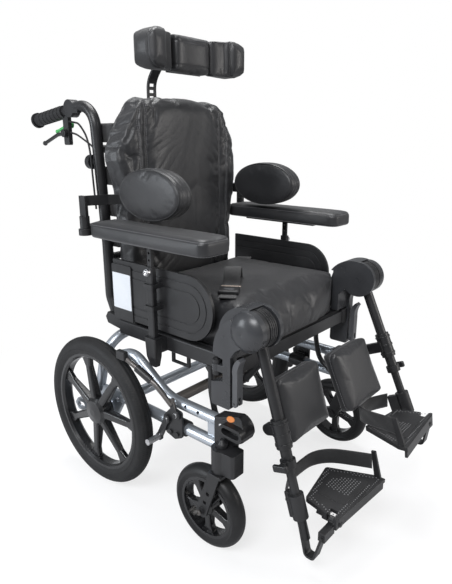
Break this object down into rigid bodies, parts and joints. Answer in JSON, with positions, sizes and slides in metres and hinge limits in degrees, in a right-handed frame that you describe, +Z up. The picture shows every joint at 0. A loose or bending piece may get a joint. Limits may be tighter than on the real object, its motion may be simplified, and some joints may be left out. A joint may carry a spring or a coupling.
{
  "type": "tilt in space wheelchair",
  "caption": "Tilt-in-space wheelchair with padded seat, reclining back, curved headrest, trunk supports, raising legrests with calf pads and footplates, and push handles.",
  "frame": {"origin": "centre of the bounding box in plan, on the floor", "axes": "+X to the chair's left, -Y the way it faces, +Z up"},
  "size_m": [0.642, 1.0662, 1.149],
  "materials": {
    "silver_tube": "satin metallic paint",
    "black_metal": "satin black powder coat",
    "brown_metal": "satin grey-brown paint",
    "steel": "brushed",
    "black_plastic": "fine-grained moulding",
    "grey_plastic": "fine-grained moulding",
    "green_plastic": "semi-gloss moulding",
    "vinyl": "soft-grained vinyl",
    "webbing": "woven webbing",
    "tyre": "matt black tread",
    "rubber": "matt"
  },
  "bodies": {
    "base": {"axle_frame": "silver_tube", "side_frame_right": "silver_tube", "side_frame_left": "silver_tube", "cross_tube": "brown_metal", "chassis_castings": "black_metal"},
    "spring_cylinder": {"tilt_cylinder": "black_metal"},
    "spring_rod": {"tilt_rod": "steel"},
    "seat": {"seat_frame": "black_metal", "seat_cushion": "vinyl", "hip_belt": "webbing", "side_panel_right": "black_plastic", "side_panel_left": "black_plastic"},
    "back": {"back_frame": "black_metal", "back_straps": "webbing", "back_cushion": "vinyl", "control_cables": "rubber"},
    "head_arm": {"headrest_arm": "black_metal"},
    "head_pad": {"headrest_pad": "vinyl"},
    "wheel_right": {"rear_rim_right": "black_plastic", "rear_tyre_right": "tyre"},
    "fork_right": {"castor_fork_right": "black_metal"},
    "castor_right": {"castor_wheel_right": "rubber"},
    "brake_right": {"brake_lever_right": "black_metal"},
    "shoe_right": {"brake_shoe_right": "steel"},
    "armrest_right": {"armrest_post_right": "black_metal", "armrest_pad_right": "vinyl"},
    "wing_right": {"headrest_wing_right": "vinyl"},
    "handle_right": {"push_handle_right": "rubber"},
    "handbrake_right": {"hand_brake_lever_right": "black_metal"},
    "thumb_right": {"tilt_hand_lever": "green_plastic"},
    "trunk_right": {"lateral_arm_right": "black_metal", "lateral_pad_right": "vinyl"},
    "hanger_right": {"legrest_hanger_right": "black_plastic"},
    "release_right": {"release_lever_right": "grey_plastic"},
    "leg_right": {"leg_tube_right": "black_metal"},
    "calf_right": {"calf_pad_right": "vinyl"},
    "foot_right": {"foot_tube_right": "black_metal", "heel_strap_right": "webbing"},
    "plate_right": {"footplate_right": "black_plastic"},
    "wheel_left": {"rear_rim_left": "black_plastic", "rear_tyre_left": "tyre"},
    "fork_left": {"castor_fork_left": "black_metal"},
    "castor_left": {"castor_wheel_left": "rubber"},
    "brake_left": {"brake_lever_left": "black_metal"},
    "shoe_left": {"brake_shoe_left": "steel"},
    "armrest_left": {"armrest_post_left": "black_metal", "armrest_pad_left": "vinyl"},
    "wing_left": {"headrest_wing_left": "vinyl"},
    "handle_left": {"push_handle_left": "rubber"},
    "handbrake_left": {"hand_brake_lever_left": "black_metal"},
    "thumb_left": {"recline_hand_lever": "grey_plastic"},
    "trunk_left": {"lateral_arm_left": "black_metal", "lateral_pad_left": "vinyl"},
    "hanger_left": {"legrest_hanger_left": "black_plastic"},
    "release_left": {"release_lever_left": "grey_plastic"},
    "leg_left": {"leg_tube_left": "black_metal"},
    "calf_left": {"calf_pad_left": "vinyl"},
    "foot_left": {"foot_tube_left": "black_metal", "heel_strap_left": "webbing"},
    "plate_left": {"footplate_left": "black_plastic"}
  },
  "joints": [
    {"name": "seat_tilt", "type": "hinge", "parent": "base", "child": "seat", "pos_m": [0, 0.19026, 0.396], "axis": [-1, 0, 0], "range_deg": [0, 25]},
    {"name": "spring_turn", "type": "hinge", "parent": "base", "child": "spring_cylinder", "pos_m": [0, -0.06774, 0.262], "axis": [-1, 0, 0], "range_deg": [0, 25.18]},
    {"name": "spring_stroke", "type": "slide", "parent": "spring_cylinder", "child": "spring_rod", "axis": [0, -0.6306, 0.7761], "range_m": [0, 0.1268]},
    {"name": "back_recline", "type": "hinge", "parent": "seat", "child": "back", "pos_m": [0, 0.20826, 0.443], "axis": [-1, 0, 0], "range_deg": [0, 30]},
    {"name": "headrest_height", "type": "slide", "parent": "back", "child": "head_arm", "axis": [0, 0, 1], "range_m": [-0.04, 0.05]},
    {"name": "headrest_angle", "type": "hinge", "parent": "head_arm", "child": "head_pad", "pos_m": [0, 0.17226, 1.106], "axis": [1, 0, 0], "range_deg": [-20, 20]},
    {"name": "rear_wheel_right", "type": "hinge", "parent": "base", "child": "wheel_right", "pos_m": [-0.296, 0.18826, 0.203], "axis": [1, 0, 0], "continuous": true},
    {"name": "castor_swivel_right", "type": "hinge", "parent": "base", "child": "fork_right", "pos_m": [-0.287, -0.24174, 0.2], "axis": [0, 0, 1], "continuous": true},
    {"name": "castor_wheel_right", "type": "hinge", "parent": "fork_right", "child": "castor_right", "pos_m": [-0.287, -0.20374, 0.1], "axis": [1, 0, 0], "continuous": true},
    {"name": "brake_lever_right", "type": "hinge", "parent": "base", "child": "brake_right", "pos_m": [-0.28, -0.09374, 0.284], "axis": [1, 0, 0], "range_deg": [0, 45]},
    {"name": "brake_shoe_right", "type": "hinge", "parent": "base", "child": "shoe_right", "pos_m": [-0.28, -0.06174, 0.262], "axis": [1, 0, 0], "range_deg": [0, 11.05]},
    {"name": "armrest_height_right", "type": "slide", "parent": "seat", "child": "armrest_right", "axis": [0, 0, 1], "range_m": [-0.034, 0.005]},
    {"name": "headrest_wing_right", "type": "hinge", "parent": "head_pad", "child": "wing_right", "pos_m": [-0.088, 0.12426, 1.106], "axis": [0, 0, 1], "range_deg": [-20, 20]},
    {"name": "handle_angle_right", "type": "hinge", "parent": "back", "child": "handle_right", "pos_m": [-0.205, 0.34626, 0.976], "axis": [1, 0, 0], "range_deg": [-45, 30], "deforming": ["control_cables"]},
    {"name": "hand_brake_right", "type": "hinge", "parent": "handle_right", "child": "handbrake_right", "pos_m": [-0.199, 0.38426, 0.915], "axis": [1, 0, 0], "range_deg": [0, 14], "stiffness_Nm_per_rad": 1.2, "springref_deg": -11.46},
    {"name": "tilt_release", "type": "hinge", "parent": "handle_right", "child": "thumb_right", "pos_m": [-0.199, 0.38426, 0.937], "axis": [1, 0, 0], "range_deg": [0, 7], "stiffness_Nm_per_rad": 0.8, "springref_deg": -11.46},
    {"name": "trunk_support_right", "type": "hinge", "parent": "back", "child": "trunk_right", "pos_m": [-0.296, 0.19226, 0.704], "axis": [0, 0, 1], "range_deg": [-90, 0]},
    {"name": "legrest_swing_right", "type": "hinge", "parent": "seat", "child": "hanger_right", "pos_m": [-0.254, -0.19874, 0.431], "axis": [0, 0, 1], "range_deg": [-90, 0]},
    {"name": "legrest_release_right", "type": "hinge", "parent": "hanger_right", "child": "release_right", "pos_m": [-0.254, -0.25474, 0.362], "axis": [1, 0, 0], "range_deg": [0, 18], "stiffness_Nm_per_rad": 0.8, "springref_deg": -14.32},
    {"name": "knee_right", "type": "hinge", "parent": "hanger_right", "child": "leg_right", "pos_m": [-0.22, -0.27974, 0.527], "axis": [-1, 0, 0], "range_deg": [0, 60]},
    {"name": "calf_pad_right", "type": "hinge", "parent": "leg_right", "child": "calf_right", "pos_m": [-0.17, -0.30413, 0.29667], "axis": [1, 0, 0], "range_deg": [-5, 12]},
    {"name": "leg_length_right", "type": "slide", "parent": "leg_right", "child": "foot_right", "axis": [0, -0.3007, -0.9537], "range_m": [-0.03, 0.03]},
    {"name": "footplate_flip_right", "type": "hinge", "parent": "foot_right", "child": "plate_right", "pos_m": [-0.182, -0.39852, 0.13228], "axis": [0, -1, 0], "range_deg": [0, 90], "deforming": ["heel_strap_right"]},
    {"name": "rear_wheel_left", "type": "hinge", "parent": "base", "child": "wheel_left", "pos_m": [0.296, 0.18826, 0.203], "axis": [1, 0, 0], "continuous": true},
    {"name": "castor_swivel_left", "type": "hinge", "parent": "base", "child": "fork_left", "pos_m": [0.287, -0.24174, 0.2], "axis": [0, 0, 1], "continuous": true},
    {"name": "castor_wheel_left", "type": "hinge", "parent": "fork_left", "child": "castor_left", "pos_m": [0.287, -0.20374, 0.1], "axis": [1, 0, 0], "continuous": true},
    {"name": "brake_lever_left", "type": "hinge", "parent": "base", "child": "brake_left", "pos_m": [0.28, -0.09374, 0.284], "axis": [1, 0, 0], "range_deg": [0, 45]},
    {"name": "brake_shoe_left", "type": "hinge", "parent": "base", "child": "shoe_left", "pos_m": [0.28, -0.06174, 0.262], "axis": [1, 0, 0], "range_deg": [0, 11.05]},
    {"name": "armrest_height_left", "type": "slide", "parent": "seat", "child": "armrest_left", "axis": [0, 0, 1], "range_m": [-0.034, 0.005]},
    {"name": "headrest_wing_left", "type": "hinge", "parent": "head_pad", "child": "wing_left", "pos_m": [0.088, 0.12426, 1.106], "axis": [0, 0, 1], "range_deg": [-20, 20]},
    {"name": "handle_angle_left", "type": "hinge", "parent": "back", "child": "handle_left", "pos_m": [0.205, 0.34626, 0.976], "axis": [1, 0, 0], "range_deg": [-45, 30], "deforming": ["control_cables"]},
    {"name": "hand_brake_left", "type": "hinge", "parent": "handle_left", "child": "handbrake_left", "pos_m": [0.199, 0.38426, 0.915], "axis": [1, 0, 0], "range_deg": [0, 14], "stiffness_Nm_per_rad": 1.2, "springref_deg": -11.46},
    {"name": "recline_release", "type": "hinge", "parent": "handle_left", "child": "thumb_left", "pos_m": [0.199, 0.38426, 0.937], "axis": [1, 0, 0], "range_deg": [0, 7], "stiffness_Nm_per_rad": 0.8, "springref_deg": -11.46},
    {"name": "trunk_support_left", "type": "hinge", "parent": "back", "child": "trunk_left", "pos_m": [0.296, 0.19226, 0.704], "axis": [0, 0, 1], "range_deg": [0, 90]},
    {"name": "legrest_swing_left", "type": "hinge", "parent": "seat", "child": "hanger_left", "pos_m": [0.254, -0.19874, 0.431], "axis": [0, 0, 1], "range_deg": [0, 90]},
    {"name": "legrest_release_left", "type": "hinge", "parent": "hanger_left", "child": "release_left", "pos_m": [0.254, -0.25474, 0.362], "axis": [1, 0, 0], "range_deg": [0, 18], "stiffness_Nm_per_rad": 0.8, "springref_deg": -14.32},
    {"name": "knee_left", "type": "hinge", "parent": "hanger_left", "child": "leg_left", "pos_m": [0.22, -0.28974, 0.549], "axis": [-1, 0, 0], "range_deg": [0, 60]},
    {"name": "calf_pad_left", "type": "hinge", "parent": "leg_left", "child": "calf_left", "pos_m": [0.17, -0.32708, 0.36008], "axis": [1, 0, 0], "range_deg": [-5, 12]},
    {"name": "leg_length_left", "type": "slide", "parent": "leg_left", "child": "foot_left", "axis": [0, -0.4226, -0.9063], "range_m": [-0.03, 0.03]},
    {"name": "footplate_flip_left", "type": "hinge", "parent": "foot_left", "child": "plate_left", "pos_m": [0.182, -0.44085, 0.21213], "axis": [0, 0.9914, -0.1305], "range_deg": [0, 90], "deforming": ["heel_strap_left"]}
  ],
  "couplings": [
    {"joint": "spring_turn", "follows": "seat_tilt", "ratio": 0.98707},
    {"joint": "spring_stroke", "follows": "seat_tilt", "m_per_rad": 0.2884},
    {"joint": "brake_shoe_right", "follows": "brake_lever_right", "ratio": 0.24511},
    {"joint": "brake_shoe_left", "follows": "brake_lever_left", "ratio": 0.24511}
  ]
}
